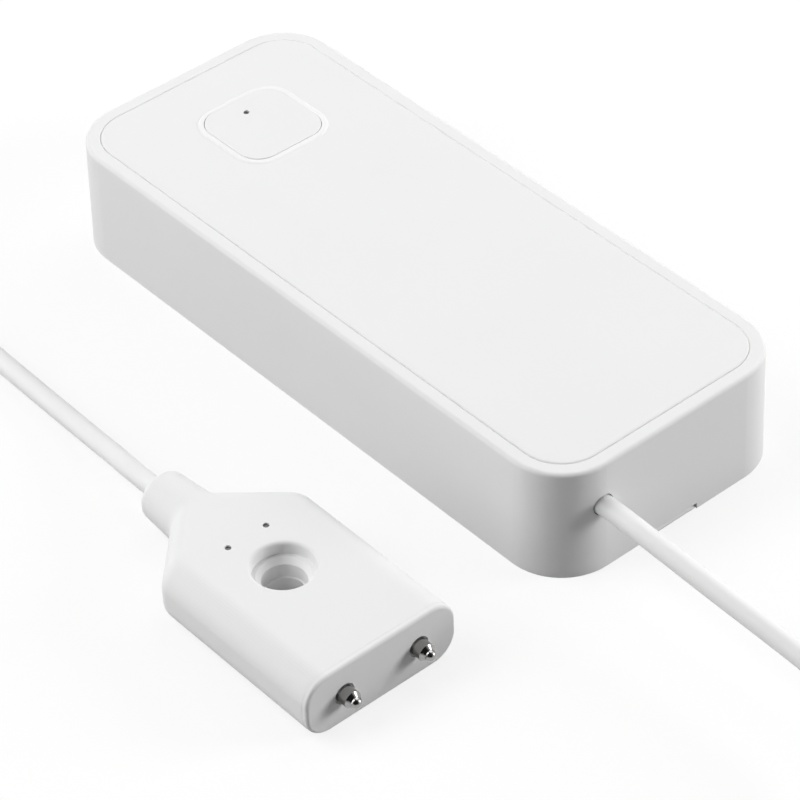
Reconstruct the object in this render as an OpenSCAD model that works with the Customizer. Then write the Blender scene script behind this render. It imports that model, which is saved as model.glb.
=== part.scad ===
// Water leak sensor: a battery powered housing with a wired, two-pin floor probe.
// Millimetres, +Z up. The origin is the middle of the housing's base, on the floor.
// +X is the housing's cable end, and the probe lies beside the housing toward -Y.

/* [Housing] */
// Length of the housing at its base
body_l = 90; // [87:0.5:110]
// Width of the housing at its base
body_w = 36.8; // [35.6:0.2:46]
// Radius of the housing's upright corners
body_corner_r = 7.5; // [6:0.1:10]
// How far each side leans in from the base to the top
body_draft = 0.25; // [0.05:0.05:0.6]
// Radius of the rounded edge round the top
rim_fillet = 0.5; // [0.2:0.1:1]
// Width of the flat rim round the top panel
rim_w = 1.9; // [1.4:0.1:3]
// Chamfer along the rim's inner edge
rim_edge = 0.15; // [0.1:0.05:0.3]
// Thickness of the side walls
wall_t = 1.8; // [1.4:0.1:2.2]
// Thickness of the top wall under the panel
top_t = 1.2; // [0.9:0.1:1.8]
// Width of the fingernail notch in the cable end
notch_w = 6.4; // [4:0.2:9]
// Height of the fingernail notch
notch_h = 0.8; // [0.5:0.1:1.2]

/* [Top panel] */
// Thickness of the panel let into the top
panel_t = 1; // [0.8:0.1:1.5]
// Height of the panel above the rim
panel_proud = 0.05; // [0:0.05:0.3]
// Gap between the panel and its recess
panel_gap = 0.02; // [0.02:0.01:0.3]
// Radius of the panel's upper edge
panel_edge_r = 0.2; // [0.1:0.05:0.4]
// Width of the raised collar round the button
collar_w = 0.8; // [0.5:0.1:1.5]
// Height of the raised collar
collar_h = 0.12; // [0.1:0.01:0.3]

/* [Button] */
// Side of the square button cap
button_size = 12; // [9.5:0.1:14]
// Radius of the cap's corners
button_corner_r = 3.1; // [2.6:0.1:4.5]
// How much rounder the cap's corners are than the opening's
corner_slack = 0.08; // [0:0.02:0.5]
// Distance from the housing's end to the middle of the button
button_end_gap = 15.8; // [13.5:0.1:18]
// Distance of the button from the housing's centre line
button_offset = 1.1; // [0:0.1:2]
// Running gap round the cap
button_gap = 0.04; // [0.04:0.01:0.3]
// Height of the cap above the panel
button_proud = 0.2; // [0.15:0.05:0.8]
// Radius of the cap's upper edge
button_edge_r = 0.1; // [0.1:0.05:0.9]
// Travel of the cap when it is pressed
button_travel = 0.4; // [0.2:0.05:0.6]
// Thickness of the cap's top
cap_t = 1.4; // [1:0.1:1.8]
// Thickness of the cap's skirt
cap_wall = 1; // [0.8:0.1:1.2]
// Width of the flange that keeps the cap in
flange_w = 0.8; // [0.5:0.1:1.2]
// Thickness of the flange
flange_t = 0.8; // [0.6:0.1:1.2]
// Slack between the flange and the top wall
flange_gap = 0.06; // [0.02:0.01:0.15]
// Diameter of the stem that works the switch
stem_d = 3; // [2.4:0.1:3.4]
// Distance of the light window from the middle of the cap
window_offset = 3.2; // [3.1:0.1:3.6]
// Diameter of the light window
window_d = 0.8; // [0.4:0.1:1]
// Diameter of the light pipe under the window
pipe_d = 1.5; // [1.2:0.1:1.7]
// Depth of the light pipe's tip below the cap's face
window_depth = 0.25; // [0.1:0.05:0.6]

/* [Bottom cover] */
// Thickness of the cover
cover_t = 1.5; // [1.2:0.1:2]
// Gap round the cover
cover_gap = 0.15; // [0.1:0.01:0.3]
// Thickness of the cover's lip
lip_t = 1; // [0.8:0.1:1.4]
// Height of the lip above the cover
lip_h = 1.5; // [1:0.1:1.6]
// Thickness of the ribs that steady the cells
rib_t = 1.2; // [0.8:0.1:1.6]
// Distance of those ribs from the tray's ends
rib_inset = 14; // [12:0.5:18]
// Chamfer along the cover's lower edge
cover_chamfer = 0.3; // [0.1:0.1:0.6]
// Height of the front edge of the tab that fills the fingernail notch
tab_edge = 0.2; // [0.1:0.05:0.3]
// Height of those ribs above the cover
rib_h = 2.4; // [1.5:0.1:3]

/* [Cells] */
// Diameter of one AAA cell
cell_d = 10.5; // [9.5:0.1:10.5]
// Length of one AAA cell, with its cap
cell_l = 44.5; // [43.3:0.1:44.5]
// Diameter of the cell's positive cap
cap_d = 3.8; // [3:0.1:3.8]
// Height of the cell's positive cap
cap_h = 0.9; // [0.8:0.1:1.2]
// Space between the two cells
cell_spacing = 0.6; // [0.4:0.1:1]
// Space under a cell
cell_lift = 0.4; // [0.3:0.1:1]
// Space over a cell, which sets the housing's height
cell_headroom = 0.6; // [0.4:0.1:3]
// Space between a cell and the tray
cell_gap = 0.25; // [0.2:0.05:0.4]
// Chamfer round the cell's ends
cell_rim = 0.5; // [0.3:0.1:0.8]

/* [Battery tray] */
// Thickness of the tray's walls
tray_wall = 0.8; // [0.7:0.1:1]
// Height of the tray's lower edge above the cover
tray_rise = 1.9; // [1.8:0.1:2.6]
// How far the tray reaches past the start of the housing's round corners
tray_reach = 2.6; // [1:0.1:2.6]
// Space between the tray and the housing's side
tray_side_gap = 0.2; // [0.2:0.05:0.4]
// Width of the window over each cell
tray_window = 6; // [4:0.5:7]
// Height of the tray's middle web above the cells' axes
web_gap = 2; // [1:0.5:3]
// Thickness of the contact plates
contact_t = 0.4; // [0.3:0.05:0.6]
// Side of a contact plate
contact_size = 7; // [6:0.5:7.5]
// Width of the tails that join the contacts to the board
tail_w = 2.4; // [1.6:0.1:3]
// Length of a contact spring under load
spring_l = 4; // [3.5:0.1:4.5]
// Thickness of the spring wire
spring_wire = 0.5; // [0.4:0.05:0.6]
// Thickness of the tray's two ears
ear_t = 1.2; // [1:0.1:1.6]
// Width of the ears
ear_w = 4; // [3.6:0.1:4.4]
// Diameter of the posts that the ears are screwed to
ear_post_d = 3.6; // [3.2:0.1:4]
// Space between the ears' screw heads and the cover's lip
ear_lip_gap = 0.3; // [0.2:0.1:0.6]
// Distance from the tray's ends to its ears
ear_inset = 9; // [6:0.5:12]

/* [Circuit board] */
// Thickness of the board
board_t = 1; // [0.8:0.1:1.6]
// Space between the board and the housing
board_gap = 0.6; // [0.3:0.1:0.9]
// Space between the board and the tray
board_tray_gap = 1; // [0.6:0.1:2]
// Length of the posts that carry the board
boss_h = 6; // [5.6:0.1:6.6]
// Diameter of those posts
boss_d = 4.2; // [3.6:0.1:4.8]
// Distance of the posts from the board's edges
boss_inset = 4.2; // [3.8:0.1:4.8]
// Diameter of the screws
screw_d = 1.8; // [1.6:0.1:2]
// Diameter of the screw heads
head_d = 3.2; // [2.8:0.1:3.4]
// Height of the screw heads
head_h = 1.1; // [0.8:0.1:1.2]
// Length of the screws under the head
screw_l = 3.8; // [3:0.2:4.2]
// Clearance round the screws in the pieces that they hold
screw_gap = 0.15; // [0.1:0.05:0.3]
// Side of the push switch
switch_size = 4.5; // [4:0.1:5]
// Height of the push switch without its plunger
switch_h = 3; // [2.6:0.1:3.2]
// Diameter of the plunger
plunger_d = 2.2; // [1.8:0.1:2.4]
// Height of the plunger above the switch
plunger_h = 0.8; // [0.6:0.1:1]
// Length of the plunger inside the switch
plunger_in = 0.8; // [0.6:0.1:1]
// Length of the radio module along the housing
radio_l = 15; // [12:0.5:16]
// Width of the radio module
radio_w = 19; // [15:0.5:20]
// Thickness of the radio module's board
radio_t = 0.8; // [0.6:0.1:1]
// Height of the radio module's shield
shield_h = 1.8; // [1.4:0.1:2]
// Distance of the radio module from the board's end
radio_edge = 2; // [1:0.1:3]
// Distance of the shield from the radio module's edges
shield_inset = 1.2; // [0.5:0.1:2]
// Length of the radio module's bare aerial
aerial_l = 3.6; // [3:0.1:5]
// Length of the socket for the cable
header_l = 5.5; // [4.5:0.1:6.5]
// Width of the socket
header_w = 5.6; // [5:0.1:6]
// Height of the socket
header_h = 4.2; // [3.8:0.1:4.4]
// Thickness of the socket's walls
header_wall = 0.8; // [0.6:0.1:1]
// Distance of the socket from the board's end
header_edge = 2.1; // [1:0.1:3]
// Space between the plug and its socket
plug_gap = 0.1; // [0.05:0.05:0.2]
// How far the plug stands out of its socket
plug_out = 2.4; // [1.5:0.1:2.8]

/* [Cable] */
// Diameter of the cable
cable_d = 2.5; // [2.2:0.1:2.6]
// Gap round the cable where it leaves the housing
cable_gap = 0.15; // [0.1:0.05:0.4]
// Distance of the cable from the middle of the channel beside the tray
cable_offset = 0.65; // [-0.5:0.05:0.8]
// Height of the cable where it leaves the housing
cable_z = 9.4; // [9:0.1:9.8]
// Length of the stop crimped on the cable inside the housing
stop_l = 3.6; // [3:0.1:4]
// Diameter of that stop
stop_d = 4; // [3.6:0.1:4.2]
// Space between the stop and the housing
stop_gap = 0.2; // [0.1:0.05:0.4]
// Space round the cable where it passes ribs and posts
cable_pass = 0.35; // [0.1:0.05:0.5]
// Length of cable jacket inside the housing
jacket_l = 40; // [30:1:42]
// Diameter of one inner wire
wire_d = 0.9; // [0.7:0.05:1]
// Distance of the inner wires from the cable's axis
wire_offset = 0.6; // [0.5:0.05:0.7]
// Thickness of the strap round the coil
strap_t = 0.6; // [0.4:0.1:0.6]
// Width of the strap round the coil
strap_w = 3.2; // [2.4:0.2:4]

/* [Probe] */
// Place of the probe's front face along the housing
probe_x = 43.6; // [38:0.1:50]
// Distance of the probe's middle from the housing's centre line
probe_y = 42.8; // [36:0.1:50]
// Width of the probe
probe_w = 21.1; // [19.5:0.1:24]
// Thickness of the probe
probe_t = 8.2; // [7.8:0.1:10]
// Radius of the probe's long edges
probe_edge_r = 3.2; // [2.5:0.1:3.6]
// Distance from the front face to the probe's shoulders
probe_body_l = 24.9; // [22:0.1:28]
// Angle of the shoulders
shoulder_a = 44; // [40:1:55]
// Radius of the bends at both ends of the shoulders
shoulder_r = 2.3; // [1:0.1:3]
// Diameter of the neck at the shoulders
neck_d = 6.8; // [6:0.1:7.6]
// Diameter of the neck at the cable
neck_end_d = 6.2; // [5:0.1:6.4]
// Radius of the neck's end
neck_end_r = 1; // [0.5:0.1:1.5]
// Distance from the front face to the end of the neck
probe_l = 38.7; // [36:0.1:44]
// Thickness of the end plate
plate_t = 0.8; // [0.6:0.1:1.2]
// Depth of the plug behind the end plate
plug_l = 2.2; // [1.5:0.1:3]
// Gap round the end plate and its plug
plate_gap = 0.02; // [0.02:0.01:0.1]
// Radius of the end plate's front edge
plate_edge_r = 0.4; // [0.2:0.05:0.5]
// Thickness of the probe's walls
probe_wall = 1.7; // [1.4:0.1:2]
// Radius of the long edges inside the probe
pocket_r = 1.6; // [1:0.1:2]
// Distance from the shoulders to the screw hole
hole_inset = 8.6; // [8:0.1:9.2]
// Diameter of the screw hole
hole_d = 4.7; // [4.2:0.1:5]
// Diameter of the screw hole above the step at half its depth
step_d = 5.2; // [5:0.1:5.6]
// Width and depth of the cone above the screw hole
cone_t = 0.6; // [0.3:0.1:0.8]
// Diameter of the recess for the screw's head
recess_d = 7.4; // [6.8:0.1:7.8]
// Depth of that recess
recess_t = 1.7; // [1.2:0.1:2.4]
// Radius of the recess's upper edge
recess_edge = 0.4; // [0.2:0.05:0.6]
// Wall round the screw hole
column_wall = 1.2; // [0.9:0.1:1.4]
// Diameter of the two contact pins
pin_d = 2.2; // [1.5:0.1:2.4]
// Distance of the pins from the middle
pin_offset = 5.25; // [4.8:0.05:5.6]
// Length of the pins in front of the probe
pin_l = 2.5; // [2:0.1:4]
// Diameter of a pin's round tip
pin_tip_d = 1.4; // [0.8:0.1:1.5]
// Length of the cone behind that tip
pin_cone_l = 0.5; // [0.3:0.1:0.8]
// Width of the groove round the root of a pin
pin_groove = 0.25; // [0.1:0.05:0.4]
// Length of the pins behind the front face
pin_tail = 5; // [4:0.1:6]
// Width of the collar that keeps a pin in
pin_collar = 0.6; // [0.4:0.1:0.8]
// Distance from the shoulders to the two drip contacts
drip_inset = 2.3; // [2:0.1:2.5]
// Distance of the drip contacts from the middle
drip_offset = 2.7; // [2.2:0.1:3]
// Diameter of the drip contacts
drip_d = 0.75; // [0.5:0.05:0.9]
// Depth of the drip contacts below the probe's top
drip_depth = 0.2; // [0:0.05:0.4]
// Space between the inner wires and the wall round the screw hole
lead_gap = 1.15; // [0.5:0.05:1.3]
// Length of cable wires that is bare of jacket in the neck
lead_in = 3.6; // [3:0.1:5]

/* [Hidden] */
$fn = 64;
fit = 0.02;
over = 1;
cross_w = 0.4;
cross_t = 0.6;
inner_l = body_l - 2*wall_t;
inner_w = body_w - 2*wall_t;
inner_r = body_corner_r - wall_t;
cell_z = cover_t + cell_lift + cell_d/2;
ceiling_z = cover_t + cell_lift + cell_d + cell_headroom;
panel_z = ceiling_z + top_t;
body_h = panel_z + panel_t;
rim_in = body_draft + rim_w;
button_x = button_end_gap - body_l/2;
opening = button_size + 2*button_gap;
opening_r = button_corner_r + button_gap - corner_slack;
cap_top_z = body_h + panel_proud + button_proud;
flange_z = ceiling_z - flange_gap - flange_t;
channel_r = cell_d/2 + cell_gap;
cell_pitch = cell_d + cell_spacing;
tray_in_l = cell_l + spring_l + 2*contact_t;
tray_x1 = inner_l/2 - inner_r + tray_reach;
tray_x0 = tray_x1 - tray_in_l - 2*tray_wall;
tray_in_x0 = tray_x0 + tray_wall;
tray_in_x1 = tray_x1 - tray_wall;
tray_y1 = inner_w/2 - tray_side_gap;
tray_y0 = tray_y1 - 2*tray_wall - 2*cell_gap - cell_d - cell_pitch;
tray_z0 = cover_t + tray_rise;
rear_y = tray_y1 - tray_wall - channel_r;
front_y = rear_y - cell_pitch;
board_z = ceiling_z - boss_h;
board_x0 = board_gap - inner_l/2;
board_x1 = tray_x0 - board_tray_gap;
board_l = board_x1 - board_x0;
board_w = inner_w - 2*board_gap;
boss_x0 = board_x0 + boss_inset;
boss_x1 = board_x1 - boss_inset;
boss_y = board_w/2 - boss_inset;
bosses = [[boss_x0, boss_y], [boss_x0, -boss_y], [boss_x1, boss_y]];
plunger_z = board_z + switch_h + plunger_h;
tail_x = board_x1 - boss_inset + boss_d/2 + screw_gap;
window_x = button_x - window_offset;
led_l = 1;
led_w = 1.6;
led_h = 0.7;
led_gap = 0.2;
pipe_z = board_z + led_h + button_travel + led_gap;
cable_y = (tray_y0 - inner_w/2)/2 + cable_offset;
ear_y = cover_gap + lip_t + ear_lip_gap + head_d/2 - inner_w/2;
ears = [tray_x0 + ear_inset, tray_x1 - ear_inset];
corner_y = body_corner_r - body_w/2;
stop_side = min(inner_r, max(0, stop_d/2 + corner_y - cable_y));
stop_x = body_l/2 - body_corner_r + sqrt(pow(inner_r, 2) - pow(stop_side, 2)) - stop_gap;
header_x = board_x1 - header_edge - header_l;
plug_x = header_x + header_wall + plug_gap;
plug_end = header_x + header_l + plug_out;
plug_w = header_w - 2*header_wall - 2*plug_gap;
lead_start = 1;
jacket_end = body_l/2 - lead_start - jacket_l;
probe_mid = probe_t/2;
edge_steps = 14;
bend_steps = 7;
end_steps = 5;
half_w = probe_w/2;
neck_r = neck_d/2;
bend_l = shoulder_r*tan(shoulder_a/2);
shoulder_q = probe_body_l + (half_w - neck_r)/tan(shoulder_a);
neck_q = shoulder_q + bend_l;
block_q = probe_body_l - bend_l;
pocket_w = probe_w - 2*probe_wall;
pocket_h = probe_t - 2*probe_wall;
pocket_q = probe_body_l - probe_wall/3;
column_r = recess_d/2 + column_wall;
hole_q = probe_body_l - hole_inset;
drip_q = probe_body_l - drip_inset;
tail_q = pocket_q + lead_in;
lead_r = column_r + lead_gap + wire_d/2;

// Route of the free cable, from inside the housing's wall to the coil
lead_route = [
    [44, -11.3, 9.4], [48, -11.3, 9.4], [54, -11.3, 9.1], [61, -11.3, 8.7], [68, -11.3, 8.4],
    [75, -11.35, 8.1], [80, -11.6, 7.8], [85.5, -12.8, 7.2], [90.2, -16, 6.4], [93.3, -20.6, 5.5],
    [94.4, -26.2, 4.5], [94.5, -33, 3.4], [94.5, -40, 2.6], [94.5, -47, 2.1], [94.5, -54, 1.9],
    [94.5, -61, 1.9], [94.5, -68, 1.9], [94.5, -73, 1.9]
];
// Route of the free cable from the coil to the probe's neck
return_route = [
    [72.5, -95, 4.9], [67, -95, 4.6], [61, -95, 3.9], [55, -95, 3], [49, -95, 2.1],
    [43, -94.9, 1.5], [36.5, -94.5, 1.3], [30, -93.6, 1.3], [23.5, -92, 1.3], [17, -89.6, 1.3],
    [10.5, -86.5, 1.3], [4, -83.1, 1.3], [-2.5, -79.8, 1.3], [-9, -76.4, 1.3], [-15.5, -73, 1.3],
    [-22, -69.6, 1.3], [-28.5, -66.1, 1.3], [-34.5, -62.9, 1.3], [-39.4, -60.1, 1.3],
    [-43.5, -56.2, 1.3], [-44.9, -51, 1.3], [-43.5, -45.8, 1.3], [-39.7, -42, 1.3], [-34.5, -40.6, 1.3],
    [-29, -40.6, 1.3], [-22, -40.8, 1.4], [-15, -41.1, 1.7], [-9, -41.6, 2.4], [-4, -42.2, 3.3],
    [0, -42.8, 4.1], [4.9, -42.8, 4.1]
];
// The coil winds inward on the floor, climbs half a turn, and winds outward on top
coil_mid = [75, -75.5];
coil_out = 19.5;
coil_pitch = 3;
coil_turns = 3.375;
coil_z = 1.9;
coil_rise = 3;
coil_in = coil_out - coil_pitch*coil_turns;
coil_steps = 24;
coil_total = 2*coil_turns + 0.5;
strap_side_gap = 0.35;
strap_top_gap = 0.2;

function unit(v) = v/norm(v);
function heading(p, i) = unit(p[min(i + 1, len(p) - 1)] - p[max(i - 1, 0)]);
function side_of(t) = unit(cross([0, 0, 1], t));
function ring(c, t, r, n) =
    [for (k = [0:n - 1]) c + r*cos(360*k/n)*side_of(t) + r*sin(360*k/n)*cross(t, side_of(t))];
function tube_rings(p, r, n) = [for (i = [0:len(p) - 1]) ring(p[i], heading(p, i), r, n)];
function climb(u) = u*u*(3 - 2*u);
function coil_part(q) = max(0, min(1, (q - coil_turns)/0.5));
function coil_radius(q) = q < coil_turns ? coil_out - coil_pitch*q
    : q < coil_turns + 0.5 ? coil_in - coil_pitch/2*coil_part(q)*(1 - coil_part(q))
    : coil_in + coil_pitch*(q - coil_turns - 0.5);
function coil_point(q) = [coil_mid.x + coil_radius(q)*cos(-360*q), coil_mid.y + coil_radius(q)*sin(-360*q),
    coil_z + coil_rise*climb(coil_part(q))];
coil_line = concat([coil_point(0) + [0, 2.5, 0]],
    [for (i = [0:coil_total*coil_steps]) coil_point(i/coil_steps)],
    [coil_point(coil_total) + [-2.5, 0, 0]]);
spring_r = 3.6;
spring_taper = 0.4;
spring_turns = 3.5;
spring_steps = 12;
function spring_point(q) = let(r = spring_r - spring_taper*q) [r*cos(360*q), r*sin(360*q),
    spring_wire/2 + (spring_l - spring_wire)*q/spring_turns];
spring_line = [for (i = [0:spring_turns*spring_steps]) spring_point(i/spring_steps)];
function least_gap(p, skip, d) =
    min([for (i = [0:len(p) - 1]) for (j = [i + skip:1:len(p) - 1]) norm(p[i] - p[j])]) - d;
function run_of(p) = len(p) < 2 ? 0 : norm(p[1] - p[0]) + run_of([for (i = [1:len(p) - 1]) p[i]]);
echo(coil_least_gap = least_gap(coil_line, coil_steps/2, cable_d));
echo(spring_least_gap = least_gap(spring_line, spring_steps/2, spring_wire));
echo(cable_length = run_of(lead_route) + run_of(coil_line) + run_of(return_route));

// Half width of the probe's outline, at a distance behind its front face
function probe_half(q) =
    q <= block_q ? half_w
    : q <= probe_body_l + bend_l*cos(shoulder_a)
        ? half_w - shoulder_r + sqrt(pow(shoulder_r, 2) - pow(q - block_q, 2))
    : q <= shoulder_q - bend_l*cos(shoulder_a) ? half_w - (q - probe_body_l)*tan(shoulder_a)
    : q <= neck_q ? neck_r + shoulder_r - sqrt(pow(shoulder_r, 2) - pow(neck_q - q, 2))
    : neck_taper(q) - neck_end_r + sqrt(max(0, pow(neck_end_r, 2) - pow(past_neck(q), 2)));
function neck_taper(q) = neck_r - (neck_d - neck_end_d)/2*(q - neck_q)/(probe_l - neck_q);
function past_neck(q) = max(0, q - probe_l + neck_end_r);
function probe_tall(q) = let(w = probe_half(q))
    w <= neck_r ? w : neck_r + (probe_t/2 - neck_r)*(w - neck_r)/(half_w - neck_r);
function probe_ring(q) =
    let(w = probe_half(q), h = probe_tall(q), r = min(probe_edge_r, w - 0.02, h - 0.02))
    [for (c = [[1, 1, 0], [-1, 1, 90], [-1, -1, 180], [1, -1, 270]]) for (a = [0:90/edge_steps:90])
        [-q, c[0]*(w - r) + r*cos(c[2] + a), probe_mid + c[1]*(h - r) + r*sin(c[2] + a)]];
shoulder_arc = bend_l*(1 + cos(shoulder_a));
probe_stations = concat(
    [for (k = [end_steps:-1:0]) probe_l - neck_end_r + neck_end_r*sin(90*k/end_steps)],
    [(probe_l - neck_end_r + neck_q)/2],
    [for (k = [0:bend_steps]) neck_q - shoulder_arc*k/bend_steps],
    [for (k = [0:bend_steps]) block_q + shoulder_arc*(bend_steps - k)/bend_steps],
    [plate_t]);

module rounded(l, w, r) {
    square([l - 2*r, w], center = true);
    square([l, w - 2*r], center = true);
    for (sx = [-1, 1]) for (sy = [-1, 1]) translate([sx*(l/2 - r), sy*(w/2 - r)]) circle(r);
}

// Sweeps a section round a rounded rectangle; the section's x starts at the corners' centres
module swept(l, w, r) {
    for (k = [0:3]) {
        run = k % 2 == 0 ? w - 2*r : l - 2*r;
        reach = k % 2 == 0 ? l/2 - r : w/2 - r;
        rotate(90*k) translate([reach, run/2, 0]) {
            rotate([90, 0, 0]) linear_extrude(run) children();
            rotate_extrude(angle = 90) children();
        }
    }
}

// Closes a row of rings into one skin of triangles
module skin(rings) {
    n = len(rings[0]);
    last = (len(rings) - 1)*n;
    polyhedron(
        points = [for (r = rings) each r],
        faces = concat(
            [for (i = [0:len(rings) - 2]) for (k = [0:n - 1])
                [i*n + k, (i + 1)*n + (k + 1)%n, i*n + (k + 1)%n]],
            [for (i = [0:len(rings) - 2]) for (k = [0:n - 1])
                [i*n + k, (i + 1)*n + k, (i + 1)*n + (k + 1)%n]],
            [for (k = [1:n - 2]) [0, k, k + 1]],
            [for (k = [1:n - 2]) [last, last + k + 1, last + k]]));
}

module rounded_block(l, w, r, h, e) {
    swept(l, w, r) difference() {
        square([r, h]);
        translate([r - e, h - e]) difference() {
            square(e + 1);
            circle(e);
        }
    }
    translate([0, 0, h/2]) cube([l - 2*r, w - 2*r, h], center = true);
}

module along_x(x, y, z) translate([x, y, z]) rotate([0, 90, 0]) children();

module screw() {
    cylinder(d = screw_d, h = screw_l);
    difference() {
        translate([0, 0, -head_h]) cylinder(d = head_d, h = head_h);
        for (a = [0, 90]) rotate(a) translate([-head_d/4, -cross_w/2, -head_h - over])
            cube([head_d/2, cross_w, cross_t + over]);
    }
}

module wall_section() {
    r = body_corner_r;
    top = r - body_draft;
    difference() {
        polygon([[r - wall_t, 0], [r, 0], [top, body_h - rim_fillet], [top, body_h],
            [top - rim_w + rim_edge, body_h], [top - rim_w, body_h - rim_edge],
            [top - rim_w, panel_z - top_t/2], [r - wall_t, panel_z - top_t/2]]);
        translate([top - rim_fillet, body_h - rim_fillet]) difference() {
            square(rim_fillet + 1);
            circle(rim_fillet);
        }
    }
}

module housing_shell() color("whitesmoke") difference() {
    union() {
        swept(body_l, body_w, body_corner_r) wall_section();
        translate([0, 0, ceiling_z]) linear_extrude(top_t)
            rounded(body_l - wall_t, body_w - wall_t, body_corner_r - wall_t/2);
        for (p = bosses) translate([p.x, p.y, board_z]) cylinder(d = boss_d, h = boss_h + top_t/2);
        for (x = ears) ear_post(x);
        cable_rib();
    }
    translate([button_x, button_offset, ceiling_z - over]) linear_extrude(top_t + 2*over)
        rounded(opening, opening, opening_r);
    for (p = bosses) translate([p.x, p.y, board_z - over]) pilot(screw_l - board_t + over);
    for (x = ears) translate([x, ear_y, tray_z0]) pilot(screw_l);
    along_x(body_l/2 - body_corner_r, cable_y, cable_z)
        cylinder(d = cable_d + 2*cable_gap, h = body_corner_r + over);
    translate([body_l/2 - wall_t - over, -notch_w/2, -over]) cube([wall_t + 2*over, notch_w, notch_h + over]);
}

module pilot(l) cylinder(d = screw_d + 2*fit, h = l + 2*screw_gap);

module screw_way(t) translate([0, 0, -over]) cylinder(d = screw_d + 2*screw_gap, h = t + 2*over);

// Room for the cable past a rib or post, open toward the cover
module cable_way(x, l) {
    along_x(x, cable_y, cable_z) cylinder(d = cable_d + 2*cable_pass, h = l);
    translate([x, cable_y - cable_d/2 - cable_pass, 0]) cube([l, cable_d + 2*cable_pass, cable_z]);
}

// Post on the side wall for the screw of one ear, which lies under the cable
module ear_post(x) {
    low_z = tray_z0 + ear_t;
    wall_y = -inner_w/2 - wall_t/2;
    post_h = ceiling_z + top_t/2 - low_z;
    difference() {
        translate([x, ear_y, low_z]) union() {
            cylinder(d = ear_post_d, h = post_h);
            translate([-rib_t/2, wall_y - ear_y, 0]) cube([rib_t, ear_y - wall_y, post_h]);
        }
        along_x(x - ear_post_d, cable_y, cable_z) cylinder(d = cable_d + 2*cable_pass, h = 2*ear_post_d);
    }
}

// Keeps the crimped stop between itself and the end wall
module cable_rib() {
    reach = cable_y + stop_d/2 + inner_w/2;
    rib_x = stop_x - stop_l - stop_gap - rib_t;
    difference() {
        translate([rib_x, -inner_w/2 - wall_t/2, cable_z - stop_d/2])
            cube([rib_t, reach + wall_t/2, ceiling_z + top_t/2 - cable_z + stop_d/2]);
        cable_way(rib_x - over, rib_t + 2*over);
    }
}

module top_panel() color("white") translate([0, 0, panel_z]) difference() {
    union() {
        rounded_block(body_l - 2*(rim_in + panel_gap), body_w - 2*(rim_in + panel_gap),
            body_corner_r - rim_in - panel_gap, panel_t + panel_proud, panel_edge_r);
        translate([button_x, button_offset, panel_t + panel_proud]) swept(opening, opening, opening_r)
            polygon([[opening_r - collar_w, -panel_t/2], [opening_r + collar_w, -panel_t/2],
                [opening_r + collar_w, 0], [opening_r + collar_w - 2*collar_h, collar_h],
                [opening_r - collar_w, collar_h]]);
    }
    translate([button_x, button_offset, -over]) linear_extrude(panel_t + panel_proud + collar_h + 2*over)
        rounded(opening, opening, opening_r);
}

// Outline of the housing's inside, drawn in by a given distance
module inside(inset) rounded(inner_l - 2*inset, inner_w - 2*inset, inner_r - inset);

module battery_tray() color("gainsboro") difference() {
    union() {
        intersection() {
            translate([tray_x0, tray_y0, tray_z0])
                cube([tray_x1 - tray_x0, tray_y1 - tray_y0, ceiling_z - tray_z0]);
            translate([0, 0, tray_z0]) linear_extrude(ceiling_z - tray_z0) inside(tray_side_gap);
        }
        for (x = ears) {
            translate([x, ear_y, tray_z0]) cylinder(d = ear_w, h = ear_t);
            translate([x - ear_w/2, ear_y, tray_z0]) cube([ear_w, tray_y0 - ear_y + tray_wall/2, ear_t]);
        }
    }
    intersection() {
        cell_channels();
        linear_extrude(ceiling_z + over) inside(tray_side_gap + tray_wall);
    }
    translate([tray_in_x1 - contact_t - cell_gap, front_y, cell_z])
        cube([contact_t + cell_gap, cell_pitch, contact_size/2 + cell_gap]);
    for (y = [rear_y, front_y]) translate([tray_x0 - over, y - tail_w/2 - cell_gap, board_z - cell_gap])
        cube([tray_wall + 2*over, tail_w + 2*cell_gap, contact_t + 2*cell_gap]);
    for (x = ears) translate([x, ear_y, tray_z0]) screw_way(ear_t);
}

// Two round channels side by side, open toward the cover, with a window over each
module cell_channels() {
    for (y = [rear_y, front_y]) {
        along_x(tray_in_x0, y, cell_z) cylinder(r = channel_r, h = tray_in_l);
        translate([tray_in_x0, y - channel_r, 0]) cube([tray_in_l, 2*channel_r, cell_z]);
        translate([tray_in_x0 + spring_l, y - tray_window/2, cell_z])
            cube([tray_in_l - 2*spring_l, tray_window, ceiling_z]);
    }
    translate([tray_in_x0, front_y, 0]) cube([tray_in_l, cell_pitch, cell_z + web_gap]);
}

module tray_screws() color("silver") for (x = ears) translate([x, ear_y, tray_z0]) screw();

module circuit_board() color("seagreen") difference() {
    translate([(board_x0 + board_x1)/2, 0, board_z - board_t]) linear_extrude(board_t)
        rounded(board_l, board_w, inner_r - board_gap);
    for (p = bosses) translate([p.x, p.y, board_z - board_t]) screw_way(board_t);
}

module board_screws() color("silver") for (p = bosses) translate([p.x, p.y, board_z - board_t]) screw();

module radio_module() color("darkgreen")
    translate([board_x1 - radio_edge - radio_l, -radio_w/2 - radio_edge, board_z - board_t - radio_t])
        cube([radio_l, radio_w, radio_t]);

module radio_shield() color("silver")
    translate([board_x1 - radio_edge - radio_l + aerial_l, shield_inset - radio_w/2 - radio_edge,
        board_z - board_t - radio_t - shield_h])
        cube([radio_l - aerial_l - shield_inset, radio_w - 2*shield_inset, shield_h]);

module switch_body() color("dimgray") translate([button_x, button_offset, board_z]) difference() {
    translate([0, 0, switch_h/2]) cube([switch_size, switch_size, switch_h], center = true);
    translate([0, 0, switch_h - plunger_in - 2*plunger_h]) cylinder(d = plunger_d + 2*plug_gap, h = switch_h);
}

module switch_plunger() color("black") translate([button_x, button_offset, board_z + switch_h - plunger_in])
    cylinder(d = plunger_d, h = plunger_h + plunger_in);

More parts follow.
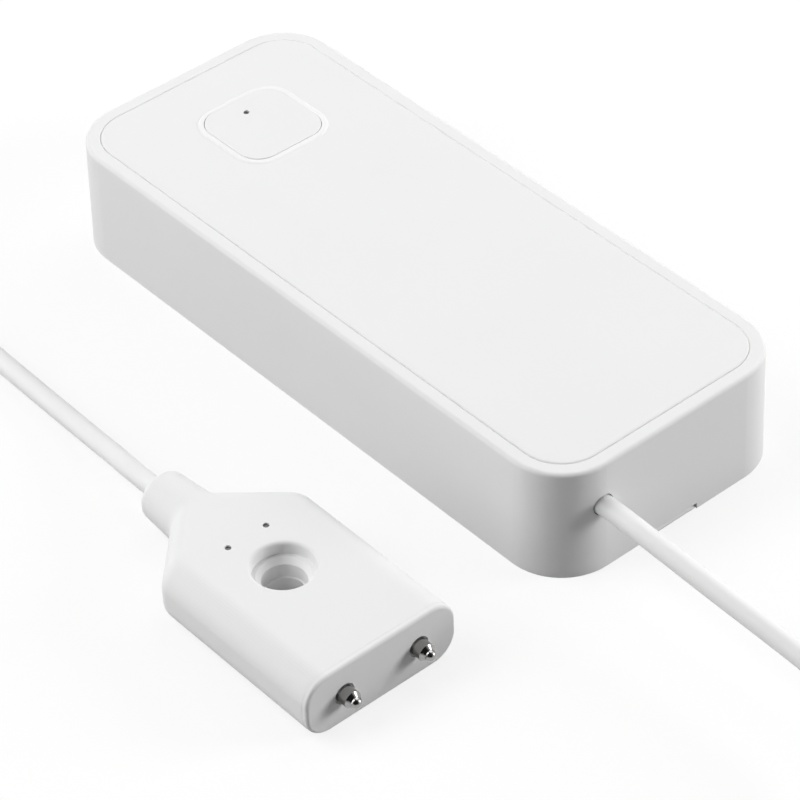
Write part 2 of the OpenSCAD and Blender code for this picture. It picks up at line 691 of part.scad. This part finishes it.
module status_led() color("lightyellow")
    translate([window_x - led_l/2, button_offset - led_w/2, board_z]) cube([led_l, led_w, led_h]);

module button_cap() color("white") translate([button_x, button_offset, 0]) {
    difference() {
        union() {
            translate([0, 0, flange_z])
                rounded_block(button_size, button_size, button_corner_r, cap_top_z - flange_z, button_edge_r);
            translate([0, 0, flange_z]) linear_extrude(flange_t)
                rounded(button_size + 2*flange_w, button_size + 2*flange_w, button_corner_r + flange_w);
        }
        translate([0, 0, flange_z - over]) linear_extrude(cap_top_z - cap_t - flange_z + over)
            rounded(button_size - 2*cap_wall, button_size - 2*cap_wall, button_corner_r - cap_wall);
        translate([-window_offset, 0, cap_top_z - cap_t - over]) cylinder(d = window_d, h = cap_t + 2*over);
    }
    translate([0, 0, plunger_z]) cylinder(d = stem_d, h = cap_top_z - cap_t/2 - plunger_z);
}

module light_pipe() color("lightgray") translate([window_x, button_offset, 0]) {
    translate([0, 0, pipe_z]) cylinder(d = pipe_d, h = cap_top_z - cap_t - pipe_z);
    translate([0, 0, pipe_z]) cylinder(d = window_d - 2*fit, h = cap_top_z - window_depth - pipe_z);
}

module cable_header() color("ivory") translate([header_x, cable_y - header_w/2, board_z]) difference() {
    cube([header_l, header_w, header_h]);
    translate([header_wall, header_wall, header_wall])
        cube([header_l, header_w - 2*header_wall, header_h - 2*header_wall]);
}

module cable_plug() color("white") difference() {
    translate([plug_x, cable_y - plug_w/2, board_z + header_wall + plug_gap])
        cube([plug_end - plug_x, plug_w, header_h - 2*header_wall - 2*plug_gap]);
    for (s = [-1, 1]) along_x(plug_end - plug_out, cable_y + s*wire_offset, cable_z)
        cylinder(d = wire_d + 2*fit, h = plug_out + over);
}

module signal_wires() color("red") for (s = [-1, 1])
    along_x(plug_end - plug_out, cable_y + s*wire_offset, cable_z)
        cylinder(d = wire_d, h = jacket_end - plug_end + plug_out);

module cable_inner() color("white")
    along_x(jacket_end, cable_y, cable_z) cylinder(d = cable_d, h = jacket_l);

module cable_stop() color("dimgray") difference() {
    along_x(stop_x - stop_l, cable_y, cable_z) cylinder(d = stop_d, h = stop_l);
    along_x(stop_x - stop_l - over, cable_y, cable_z) cylinder(d = cable_d + 2*fit, h = stop_l + 2*over);
}

module cell() rotate_extrude() polygon([[0, 0], [cell_d/2 - cell_rim, 0], [cell_d/2, cell_rim],
    [cell_d/2, cell_l - cap_h - cell_rim], [cell_d/2 - cell_rim, cell_l - cap_h], [cap_d/2, cell_l - cap_h],
    [cap_d/2, cell_l], [0, cell_l]]);

module cell_rear() color("slategray") along_x(tray_in_x1 - contact_t - cell_l, rear_y, cell_z) cell();

module cell_front() color("slategray") translate([tray_in_x0 + contact_t + cell_l, front_y, cell_z])
    rotate([0, -90, 0]) cell();

module contact_link() color("silver")
    translate([tray_in_x1 - contact_t, front_y - contact_size/2, cell_z - contact_size/2])
        cube([contact_t, cell_pitch + contact_size, contact_size]);

module end_contact(y) {
    translate([tray_in_x0, y - contact_size/2, cell_z - contact_size/2])
        cube([contact_t, contact_size, contact_size]);
    translate([tail_x, y - tail_w/2, board_z]) cube([tray_in_x0 + contact_t/2 - tail_x, tail_w, contact_t]);
}

module contact_positive() color("silver") end_contact(front_y);

module contact_negative() color("silver") end_contact(rear_y);

module contact_springs() color("silver") {
    along_x(tray_in_x0 + contact_t, rear_y, cell_z) skin(tube_rings(spring_line, spring_wire/2, 6));
    translate([tray_in_x1 - contact_t, front_y, cell_z]) rotate([0, -90, 0])
        skin(tube_rings(spring_line, spring_wire/2, 6));
}

module bottom_cover() color("whitesmoke") {
    l = inner_l - 2*cover_gap;
    w = inner_w - 2*cover_gap;
    r = inner_r - cover_gap;
    tab_x = body_l/2 - cover_gap;
    tab_h = notch_h - cover_gap;
    difference() {
        union() {
            swept(l, w, r) polygon([[0, 0], [r - cover_chamfer, 0], [r, cover_chamfer], [r, cover_t + lip_h],
                [r - lip_t, cover_t + lip_h], [r - lip_t, cover_t], [0, cover_t]]);
            translate([0, 0, cover_t/2]) cube([l - 2*r, w - 2*r, cover_t], center = true);
            for (x = [tray_in_x0 + rib_inset, tray_in_x1 - rib_inset])
                translate([x - rib_t/2, front_y - cell_d/2, cover_t/2])
                    cube([rib_t, cell_pitch + cell_d, cover_t/2 + rib_h]);
        }
        for (y = [rear_y, front_y]) along_x(tray_in_x0, y, cell_z) cylinder(r = channel_r, h = tray_in_l);
    }
    translate([0, notch_w/2 - cover_gap, 0]) rotate([90, 0, 0]) linear_extrude(notch_w - 2*cover_gap)
        polygon([[l/2 - lip_t, 0], [tab_x, 0], [tab_x, tab_edge], [tab_x - tab_h + tab_edge, tab_h],
            [l/2 - lip_t, tab_h]]);
}

module probe_at() translate([probe_x, -probe_y, 0]) children();

module across(q) translate([-q, 0, probe_mid]) rotate([90, 0, 90]) children();

module probe_shell() color("whitesmoke") probe_at() difference() {
    skin([for (q = probe_stations) probe_ring(q)]);
    difference() {
        across(pocket_q) linear_extrude(pocket_q) rounded(pocket_w, pocket_h, pocket_r);
        translate([-hole_q, 0, 0]) cylinder(r = column_r, h = probe_t);
    }
    across(probe_l + over) cylinder(d = cable_d + 2*fit, h = probe_l + 2*over - pocket_q);
    translate([-hole_q, 0, 0]) screw_hole();
    for (s = [-1, 1]) translate([-drip_q, s*drip_offset, probe_mid])
        cylinder(d = drip_d + 2*fit, h = probe_t);
}

// Recess for the screw's head, a cone below it, and a hole with a step at half its depth
module screw_hole() {
    recess_z = probe_t - recess_t;
    translate([0, 0, -over]) cylinder(d = hole_d, h = probe_t);
    translate([0, 0, probe_mid]) cylinder(d = step_d, h = probe_mid);
    translate([0, 0, recess_z - cone_t]) cylinder(d1 = step_d, d2 = step_d + 2*cone_t, h = cone_t + fit);
    translate([0, 0, recess_z]) cylinder(d = recess_d, h = recess_t + over);
    translate([0, 0, probe_t - recess_edge]) rotate_extrude() difference() {
        square([recess_d/2 + recess_edge, recess_edge + over]);
        translate([recess_d/2 + recess_edge, 0]) circle(recess_edge);
    }
}

module probe_end_plate() color("whitesmoke") probe_at() difference() {
    union() {
        across(plate_t) rounded_block(probe_w - 2*plate_gap, probe_t - 2*plate_gap,
            probe_edge_r - plate_gap, plate_t, plate_edge_r);
        across(plate_t + plug_l) linear_extrude(plug_l + plate_t/2)
            rounded(pocket_w - 2*plate_gap, pocket_h - 2*plate_gap, pocket_r - plate_gap);
    }
    for (s = [-1, 1]) {
        along_x(-plate_t - plug_l - over, s*pin_offset, probe_mid)
            cylinder(d = pin_d + 2*fit, h = plate_t + plug_l + 2*over);
        along_x(-plate_t/2, s*pin_offset, probe_mid) cylinder(d = pin_d + 2*pin_groove, h = plate_t);
    }
}

module probe_pins() color("silver") probe_at() for (s = [-1, 1]) along_x(0, s*pin_offset, probe_mid) {
    cone_z = pin_l - pin_tip_d/2 - pin_cone_l;
    translate([0, 0, -pin_tail]) cylinder(d = pin_d, h = cone_z + pin_tail);
    translate([0, 0, cone_z]) cylinder(d1 = pin_d, d2 = pin_tip_d, h = pin_cone_l);
    translate([0, 0, pin_l - pin_tip_d/2]) sphere(d = pin_tip_d);
    translate([0, 0, -plate_t - plug_l - pin_collar]) cylinder(d = pin_d + 2*pin_collar, h = pin_collar);
}

// Each contact stands on its wire and has a collar under the probe's top wall
module drip_contacts() color("silver") probe_at() for (s = [-1, 1])
    translate([-drip_q, s*drip_offset, probe_mid]) {
        translate([0, 0, wire_d/2]) cylinder(d = drip_d, h = probe_mid - wire_d/2 - drip_depth);
        translate([0, 0, pocket_h/2 - drip_d]) cylinder(d = 2*drip_d, h = drip_d);
    }

// Joins the cable's two wires to the drip contacts, round the screw hole and on to the pins
lead_line = concat(
    [[tail_q, wire_offset], [pocket_q + fit, wire_offset]],
    [[(pocket_q + drip_q)/2, (wire_offset + drip_offset)/2], [drip_q, drip_offset]],
    [for (a = [45:15:120]) [hole_q + lead_r*cos(a), lead_r*sin(a)]],
    [[1.5*pin_tail, pin_offset], [pin_tail, pin_offset]]);

module probe_leads() color("goldenrod") probe_at() for (s = [-1, 1])
    skin(tube_rings([for (p = lead_line) [-p.x, s*p.y, probe_mid]], wire_d/2, 6));

module probe_tail() color("white") probe_at() across(probe_l) cylinder(d = cable_d, h = probe_l - tail_q);

module cable_lead() color("white") skin(tube_rings(lead_route, cable_d/2, 8));

module cable_coil() color("white") skin(tube_rings(coil_line, cable_d/2, 6));

module cable_return() color("white") skin(tube_rings(return_route, cable_d/2, 8));

module cable_strap() color("darkgray") {
    mid_r = coil_out - coil_pitch*(coil_turns + 0.25)/2 + coil_pitch/16;
    l = coil_pitch*3 + cable_d + 2*strap_side_gap;
    h = coil_rise + cable_d + 2*strap_top_gap;
    translate([coil_mid.x, coil_mid.y, 0]) rotate(-45) translate([mid_r, strap_w/2, h/2 + strap_t])
        rotate([90, 0, 0]) linear_extrude(strap_w) difference() {
            rounded(l + 2*strap_t, h + 2*strap_t, 1 + strap_t);
            rounded(l, h, 1);
        }
}

housing_shell();
top_panel();
battery_tray();
tray_screws();
circuit_board();
board_screws();
radio_module();
radio_shield();
switch_body();
status_led();
cable_header();
cable_plug();
signal_wires();
cable_inner();
cable_stop();
cell_rear();
cell_front();
contact_link();
contact_positive();
contact_negative();
contact_springs();
bottom_cover();
button_cap();
light_pipe();
switch_plunger();
probe_shell();
probe_end_plate();
probe_pins();
drip_contacts();
probe_leads();
probe_tail();
cable_lead();
cable_coil();
cable_return();
cable_strap();
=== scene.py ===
import math

import bpy
from mathutils import Matrix, Vector


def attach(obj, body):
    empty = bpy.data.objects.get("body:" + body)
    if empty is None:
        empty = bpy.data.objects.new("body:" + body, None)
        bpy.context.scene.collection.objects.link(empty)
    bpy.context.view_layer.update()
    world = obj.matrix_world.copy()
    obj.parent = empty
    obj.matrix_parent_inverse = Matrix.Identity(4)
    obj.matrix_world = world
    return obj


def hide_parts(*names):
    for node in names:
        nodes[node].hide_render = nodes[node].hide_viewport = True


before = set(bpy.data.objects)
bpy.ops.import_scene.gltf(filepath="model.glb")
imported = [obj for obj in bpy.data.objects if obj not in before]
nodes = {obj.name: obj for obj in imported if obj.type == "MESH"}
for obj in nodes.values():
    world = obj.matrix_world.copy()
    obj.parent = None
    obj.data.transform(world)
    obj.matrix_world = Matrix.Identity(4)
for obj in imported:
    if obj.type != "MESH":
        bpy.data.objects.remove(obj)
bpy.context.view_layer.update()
scene = bpy.context.scene
MM = 0.001
MM_PER_M = 1000

# Camera: angles in degrees, places in metres, lens and sensor in millimetres
CAMERA_AZIMUTH = 50.327
CAMERA_ELEVATION = 40.728
CAMERA_ROLL = -2.052
CAMERA_DISTANCE = 0.42651
CAMERA_TARGET = (0.00776, -0.00924, 0)
CAMERA_LENS = 162.2
CAMERA_SENSOR = 36
CAMERA_NEAR = 0.01
CAMERA_FAR = 20


def make_camera():
    a = math.radians(CAMERA_AZIMUTH)
    e = math.radians(CAMERA_ELEVATION)
    r = math.radians(CAMERA_ROLL)
    back = Vector((math.sin(a) * math.cos(e), -math.cos(a) * math.cos(e), math.sin(e)))
    right = Vector((math.cos(a), math.sin(a), 0))
    up = back.cross(right)
    side = right * math.cos(r) + up * math.sin(r)
    top = up * math.cos(r) - right * math.sin(r)
    data = bpy.data.cameras.new("camera")
    data.lens = CAMERA_LENS
    data.sensor_width = CAMERA_SENSOR
    data.clip_start = CAMERA_NEAR
    data.clip_end = CAMERA_FAR
    cam = bpy.data.objects.new("camera", data)
    scene.collection.objects.link(cam)
    turn = Matrix((side, top, back)).transposed().to_4x4()
    cam.matrix_world = Matrix.Translation(Vector(CAMERA_TARGET) + back * CAMERA_DISTANCE) @ turn
    scene.camera = cam


make_camera()


# Cable: the same route as the part's solids, in millimetres
CABLE_D = 2.5
LEAD = [
    (44, -11.3, 9.4), (48, -11.3, 9.4), (54, -11.3, 9.1), (61, -11.3, 8.7), (68, -11.3, 8.4),
    (75, -11.35, 8.1), (80, -11.6, 7.8), (85.5, -12.8, 7.2), (90.2, -16, 6.4), (93.3, -20.6, 5.5),
    (94.4, -26.2, 4.5), (94.5, -33, 3.4), (94.5, -40, 2.6), (94.5, -47, 2.1), (94.5, -54, 1.9),
    (94.5, -61, 1.9), (94.5, -68, 1.9), (94.5, -73, 1.9),
]
RETURN = [
    (72.5, -95, 4.9), (67, -95, 4.6), (61, -95, 3.9), (55, -95, 3), (49, -95, 2.1),
    (43, -94.9, 1.5), (36.5, -94.5, 1.3), (30, -93.6, 1.3), (23.5, -92, 1.3), (17, -89.6, 1.3),
    (10.5, -86.5, 1.3), (4, -83.1, 1.3), (-2.5, -79.8, 1.3), (-9, -76.4, 1.3), (-15.5, -73, 1.3),
    (-22, -69.6, 1.3), (-28.5, -66.1, 1.3), (-34.5, -62.9, 1.3), (-39.4, -60.1, 1.3),
    (-43.5, -56.2, 1.3), (-44.9, -51, 1.3), (-43.5, -45.8, 1.3), (-39.7, -42, 1.3), (-34.5, -40.6, 1.3),
    (-29, -40.6, 1.3), (-22, -40.8, 1.4), (-15, -41.1, 1.7), (-9, -41.6, 2.4), (-4, -42.2, 3.3),
    (0, -42.8, 4.1), (4.9, -42.8, 4.1),
]
ROUTE_STEPS = 4
BEVEL_STEPS = 6

# The coil winds inward on the floor, climbs for half a turn, and winds outward on top
COIL_MID = (75, -75.5)
COIL_OUT = 19.5
COIL_PITCH = 3
COIL_TURNS = 3.375
COIL_CLIMB = 0.5
COIL_Z = 1.9
COIL_RISE = 3
COIL_STEPS = 48


def coil_point(q):
    part = max(0, min(1, (q - COIL_TURNS) / COIL_CLIMB))
    inner = COIL_OUT - COIL_PITCH * COIL_TURNS
    if q < COIL_TURNS:
        r = COIL_OUT - COIL_PITCH * q
    elif q < COIL_TURNS + COIL_CLIMB:
        r = inner - COIL_PITCH / 2 * part * (1 - part)
    else:
        r = inner + COIL_PITCH * (q - COIL_TURNS - COIL_CLIMB)
    a = -2 * math.pi * q
    z = COIL_Z + COIL_RISE * part * part * (3 - 2 * part)
    return Vector((COIL_MID[0] + r * math.cos(a), COIL_MID[1] + r * math.sin(a), z))


def smooth(points, steps):
    """A curve through the points, with extra points between them."""
    p = [Vector(x) for x in points]
    p = [2 * p[0] - p[1]] + p + [2 * p[-1] - p[-2]]
    out = []
    for a, b, c, d in zip(p, p[1:], p[2:], p[3:]):
        for k in range(steps):
            t = k / steps
            m1, m2 = (c - a) / 2, (d - b) / 2
            out.append(
                (2 * t**3 - 3 * t**2 + 1) * b + (t**3 - 2 * t**2 + t) * m1
                + (-2 * t**3 + 3 * t**2) * c + (t**3 - t**2) * m2
            )
    out.append(p[-2])
    return out


def cable_line():
    turns = 2 * COIL_TURNS + COIL_CLIMB
    coil = [coil_point(i / COIL_STEPS) for i in range(int(turns * COIL_STEPS))]
    coil.append(coil_point(turns))
    return smooth(LEAD, ROUTE_STEPS) + coil + smooth(RETURN, ROUTE_STEPS)


def make_cable():
    data = bpy.data.curves.new("cable", "CURVE")
    data.dimensions = "3D"
    # The points carry the radius, so that the curve's own box keeps to the cable
    data.bevel_depth = 1
    data.bevel_resolution = BEVEL_STEPS
    data.use_fill_caps = True
    line = cable_line()
    spline = data.splines.new("POLY")
    spline.points.add(len(line) - 1)
    for point, place in zip(spline.points, line):
        point.co = (*(place * MM), 1)
        point.radius = CABLE_D / 2 * MM
    spline.use_smooth = True
    cable = bpy.data.objects.new("cable", data)
    scene.collection.objects.link(cable)
    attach(cable, "housing")
    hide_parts("cable_lead", "cable_coil", "cable_return")
    return cable


cable = make_cable()


# Materials: the broad noise varies the colour, the fine noise the gloss and the bumps
FINE_DETAIL = 3
BROAD_DETAIL = 4
BROAD_OVER_FINE = 60
BUMP_STRENGTH = 0.5
LEAST_ROUGH = 0.02


def grain_material(
    name, colour, rough, grain_mm, depth_mm, metal=0.0, speckle=0.015, rough_swing=0.05, **more
):
    """A surface whose fine grain shows in its colour, its gloss and its bumps."""
    mat = bpy.data.materials.new(name)
    mat.use_nodes = True
    tree = mat.node_tree
    shader = tree.nodes["Principled BSDF"]
    shader.inputs["Metallic"].default_value = metal
    for key, value in more.items():
        shader.inputs[key.replace("_", " ")].default_value = value
    place = tree.nodes.new("ShaderNodeTexCoord")
    fine = tree.nodes.new("ShaderNodeTexNoise")
    fine.inputs["Scale"].default_value = MM_PER_M / grain_mm
    fine.inputs["Detail"].default_value = FINE_DETAIL
    broad = tree.nodes.new("ShaderNodeTexNoise")
    broad.inputs["Scale"].default_value = MM_PER_M / (grain_mm * BROAD_OVER_FINE)
    broad.inputs["Detail"].default_value = BROAD_DETAIL
    for noise in (fine, broad):
        tree.links.new(place.outputs["Object"], noise.inputs["Vector"])
    tint = tree.nodes.new("ShaderNodeMix")
    tint.data_type = "RGBA"
    low = [c * (1 - speckle) for c in colour]
    high = [min(1, c * (1 + speckle)) for c in colour]
    tint.inputs["A"].default_value = (*low, 1)
    tint.inputs["B"].default_value = (*high, 1)
    tree.links.new(broad.outputs["Fac"], tint.inputs["Factor"])
    tree.links.new(tint.outputs["Result"], shader.inputs["Base Color"])
    gloss = tree.nodes.new("ShaderNodeMapRange")
    gloss.inputs["To Min"].default_value = max(LEAST_ROUGH, rough - rough_swing)
    gloss.inputs["To Max"].default_value = rough + rough_swing
    tree.links.new(fine.outputs["Fac"], gloss.inputs["Value"])
    tree.links.new(gloss.outputs["Result"], shader.inputs["Roughness"])
    bump = tree.nodes.new("ShaderNodeBump")
    bump.inputs["Strength"].default_value = BUMP_STRENGTH
    bump.inputs["Distance"].default_value = depth_mm * MM
    tree.links.new(fine.outputs["Fac"], bump.inputs["Height"])
    tree.links.new(bump.outputs["Normal"], shader.inputs["Normal"])
    return mat


WHITE = (0.83, 0.83, 0.83)
# Painted highlight: the raised collar is given a lighter white than the panel, in place of the light it
# catches
COLLAR_PAINTED_HIGHLIGHT = (0.88, 0.88, 0.88)
# Heights between which the panel's white turns into the collar's painted highlight
PANEL_TOP = 15.26 * MM
COLLAR_TOP = 15.33 * MM


def white_plastic(name):
    return grain_material(name, WHITE, rough=0.65, grain_mm=0.25, depth_mm=0.004, Specular_IOR_Level=0.2)


def paint_collar_highlight(mat, light):
    """A painted highlight: a lighter ring where the panel stands up round the button, found by its
    height; it stands in for the light the raised ring catches.
    """
    tree = mat.node_tree
    shader = tree.nodes["Principled BSDF"]
    plain = shader.inputs["Base Color"].links[0].from_socket
    place = tree.nodes.new("ShaderNodeTexCoord")
    split = tree.nodes.new("ShaderNodeSeparateXYZ")
    tree.links.new(place.outputs["Object"], split.inputs["Vector"])
    rise = tree.nodes.new("ShaderNodeMapRange")
    rise.inputs["From Min"].default_value = PANEL_TOP
    rise.inputs["From Max"].default_value = COLLAR_TOP
    tree.links.new(split.outputs["Z"], rise.inputs["Value"])
    mix = tree.nodes.new("ShaderNodeMix")
    mix.data_type = "RGBA"
    mix.inputs["B"].default_value = (*light, 1)
    tree.links.new(rise.outputs["Result"], mix.inputs["Factor"])
    tree.links.new(plain, mix.inputs["A"])
    tree.links.new(mix.outputs["Result"], shader.inputs["Base Color"])


# Each look: name, colour, roughness, then the grain's width and depth in millimetres
looks = {
    "housing": white_plastic("housing_plastic"),
    "panel": white_plastic("panel_plastic"),
    "button": white_plastic("button_plastic"),
    "probe": white_plastic("probe_plastic"),
    "cable": grain_material("cable_jacket", WHITE, 0.5, 0.4, 0.006),
    "tray": grain_material("tray_plastic", (0.56, 0.57, 0.58), 0.5, 0.3, 0.008),
    "steel": grain_material("plated_steel", (0.62, 0.62, 0.63), 0.28, 0.2, 0.004, metal=1.0),
    "pin": grain_material("polished_pin", (0.34, 0.336, 0.33), 0.16, 0.5, 0.003, metal=1.0),
    "drip": grain_material("dull_contact", (0.2, 0.197, 0.193), 0.2, 0.5, 0.003, metal=1.0),
    "board": grain_material("board_mask", (0.012, 0.095, 0.04), 0.3, 0.8, 0.01, speckle=0.12),
    "radio": grain_material("radio_mask", (0.008, 0.045, 0.028), 0.3, 0.8, 0.01, speckle=0.12),
    "dark": grain_material("dark_plastic", (0.012, 0.012, 0.013), 0.45, 0.3, 0.006, speckle=0.1),
    "pipe": grain_material("light_pipe", (0.12, 0.12, 0.125), 0.2, 0.5, 0.002),
    "led": grain_material("led_lens", (0.80, 0.77, 0.52), 0.2, 0.4, 0.002),
    "ivory": grain_material("connector_plastic", (0.75, 0.71, 0.58), 0.45, 0.3, 0.006),
    "wire": grain_material("wire_jacket", (0.36, 0.02, 0.015), 0.4, 0.3, 0.004, speckle=0.05),
    "cell": grain_material("cell_sleeve", (0.06, 0.085, 0.12), 0.3, 0.6, 0.003, speckle=0.06),
    "copper": grain_material("tinned_copper", (0.70, 0.45, 0.22), 0.3, 0.2, 0.003, metal=1.0),
    "strap": grain_material("strap_plastic", (0.26, 0.27, 0.28), 0.55, 0.5, 0.01, speckle=0.05),
}
# Paints a highlight onto the collar ring of the panel's plastic
paint_collar_highlight(looks["panel"], COLLAR_PAINTED_HIGHLIGHT)
WORN_BY = {
    "housing": ["housing_shell", "bottom_cover"],
    "panel": ["top_panel"],
    "button": ["button_cap"],
    "probe": ["probe_shell", "probe_end_plate"],
    "cable": ["cable_inner", "probe_tail"],
    "tray": ["battery_tray"],
    "steel": ["tray_screws", "board_screws", "radio_shield", "contact_link", "contact_positive",
              "contact_negative", "contact_springs"],
    "pin": ["probe_pins"],
    "drip": ["drip_contacts"],
    "board": ["circuit_board"],
    "radio": ["radio_module"],
    "dark": ["switch_body", "switch_plunger", "cable_stop"],
    "pipe": ["light_pipe"],
    "led": ["status_led"],
    "ivory": ["cable_header", "cable_plug"],
    "wire": ["signal_wires"],
    "cell": ["cell_rear", "cell_front"],
    "copper": ["probe_leads"],
    "strap": ["cable_strap"],
}
for look, names in WORN_BY.items():
    for name in names:
        slots = nodes[name].data.materials
        slots.clear()
        slots.append(looks[look])
cable.data.materials.append(looks["cable"])


# Floor, which is seen from above only; levels of grey, and metres
FLOOR_WHITE = 0.97
BOUNCE = 0.4
PALE = 0.8
FLOOR_HALF = 3
FLOOR_DROP = 0.00002


def seen_or_lit(tree, seen, lit):
    """One grey where the camera or a reflection sees it, another where it only gives light."""
    path = tree.nodes.new("ShaderNodeLightPath")
    either = path.outputs["Is Camera Ray"]
    for ray in ("Is Glossy Ray", "Is Transmission Ray"):
        both = tree.nodes.new("ShaderNodeMath")
        both.operation = "MAXIMUM"
        tree.links.new(either, both.inputs[0])
        tree.links.new(path.outputs[ray], both.inputs[1])
        either = both.outputs["Value"]
    tint = tree.nodes.new("ShaderNodeMix")
    tint.data_type = "RGBA"
    tint.inputs["A"].default_value = (lit, lit, lit, 1)
    tint.inputs["B"].default_value = (seen, seen, seen, 1)
    tree.links.new(either, tint.inputs["Factor"])
    return tint.outputs["Result"]


def make_floor():
    mesh = bpy.data.meshes.new("floor")
    s = FLOOR_HALF
    mesh.from_pydata([(-s, -s, 0), (s, -s, 0), (s, s, 0), (-s, s, 0)], [], [(0, 1, 2, 3)])
    floor = bpy.data.objects.new("floor", mesh)
    floor.location.z = -FLOOR_DROP
    scene.collection.objects.link(floor)
    mat = bpy.data.materials.new("floor")
    mat.use_nodes = True
    tree = mat.node_tree
    tree.nodes.remove(tree.nodes["Principled BSDF"])
    out = tree.nodes["Material Output"]
    matt = tree.nodes.new("ShaderNodeBsdfDiffuse")
    tree.links.new(seen_or_lit(tree, FLOOR_WHITE, BOUNCE), matt.inputs["Color"])
    pale = tree.nodes.new("ShaderNodeEmission")
    tree.links.new(seen_or_lit(tree, 1, 0), pale.inputs["Color"])
    cover = tree.nodes.new("ShaderNodeMixShader")
    tree.links.new(seen_or_lit(tree, PALE, 0), cover.inputs["Fac"])
    tree.links.new(matt.outputs["BSDF"], cover.inputs[1])
    tree.links.new(pale.outputs["Emission"], cover.inputs[2])
    clear = tree.nodes.new("ShaderNodeBsdfTransparent")
    side = tree.nodes.new("ShaderNodeNewGeometry")
    pick = tree.nodes.new("ShaderNodeMixShader")
    tree.links.new(side.outputs["Backfacing"], pick.inputs["Fac"])
    tree.links.new(cover.outputs["Shader"], pick.inputs[1])
    tree.links.new(clear.outputs["BSDF"], pick.inputs[2])
    tree.links.new(pick.outputs["Shader"], out.inputs["Surface"])
    mesh.materials.append(mat)


make_floor()


# Lamps: name, azimuth and elevation in degrees, distance, width and height in metres, power in watts
LAMP_TARGET = (0.01, -0.02, 0)
LAMPS = [
    ("left_high", -130, 52, 0.6, 0.4, 0.4, 2.2),
    ("left_low", -120, 20, 0.5, 0.35, 0.35, 0.92),
    ("right_low", 50, 20, 0.5, 0.2, 0.2, 1.66),
    ("far_low", 110, 20, 0.5, 0.35, 0.35, 0.53),
    ("far_high", 110, 60, 0.6, 0.4, 0.4, 0.87),
]


def area_light(name, azimuth, elevation, distance, width, height, power):
    """A soft box aimed at the object; azimuth is counted from +X toward +Y."""
    a = math.radians(azimuth)
    e = math.radians(elevation)
    away = Vector((math.cos(a) * math.cos(e), math.sin(a) * math.cos(e), math.sin(e)))
    data = bpy.data.lights.new(name, "AREA")
    data.shape = "RECTANGLE"
    data.size = width
    data.size_y = height
    data.energy = power
    light = bpy.data.objects.new(name, data)
    scene.collection.objects.link(light)
    light.location = Vector(LAMP_TARGET) + away * distance
    light.rotation_euler = away.to_track_quat("Z", "Y").to_euler()


for lamp in LAMPS:
    area_light(*lamp)


# World: pale where it is seen, dim where it only lights
AMBIENT = 0.04
# Painted dark reflection: only glossy rays see a dark patch on the side that the camera looks from, and
# it neither lights the object nor shows as background; angles in degrees
DARK_SIDE = (0.583, -0.484, 0.652)
DARK_REACH = 55
DARK_SOFT = 15
DARK_LEVEL = 0.02


def make_world():
    world = bpy.data.worlds.new("world")
    world.use_nodes = True
    tree = world.node_tree
    back = tree.nodes["Background"]
    tree.links.new(seen_or_lit(tree, 1, AMBIENT), back.inputs["Color"])
    place = tree.nodes.new("ShaderNodeTexCoord")
    toward = tree.nodes.new("ShaderNodeVectorMath")
    toward.operation = "DOT_PRODUCT"
    toward.inputs[1].default_value = DARK_SIDE
    tree.links.new(place.outputs["Generated"], toward.inputs[0])
    edge = tree.nodes.new("ShaderNodeMapRange")
    edge.inputs["From Min"].default_value = math.cos(math.radians(DARK_REACH + DARK_SOFT))
    edge.inputs["From Max"].default_value = math.cos(math.radians(DARK_REACH - DARK_SOFT))
    edge.inputs["To Min"].default_value = 1
    edge.inputs["To Max"].default_value = DARK_LEVEL
    tree.links.new(toward.outputs["Value"], edge.inputs["Value"])
    # The painted dark reflection replaces the pale world for glossy rays only
    path = tree.nodes.new("ShaderNodeLightPath")
    level = tree.nodes.new("ShaderNodeMix")
    level.inputs["A"].default_value = 1
    tree.links.new(path.outputs["Is Glossy Ray"], level.inputs["Factor"])
    tree.links.new(edge.outputs["Result"], level.inputs["B"])
    tree.links.new(level.outputs["Result"], back.inputs["Strength"])
    scene.world = world


make_world()
scene.view_settings.view_transform = "Standard"

bpy.context.view_layer.update()
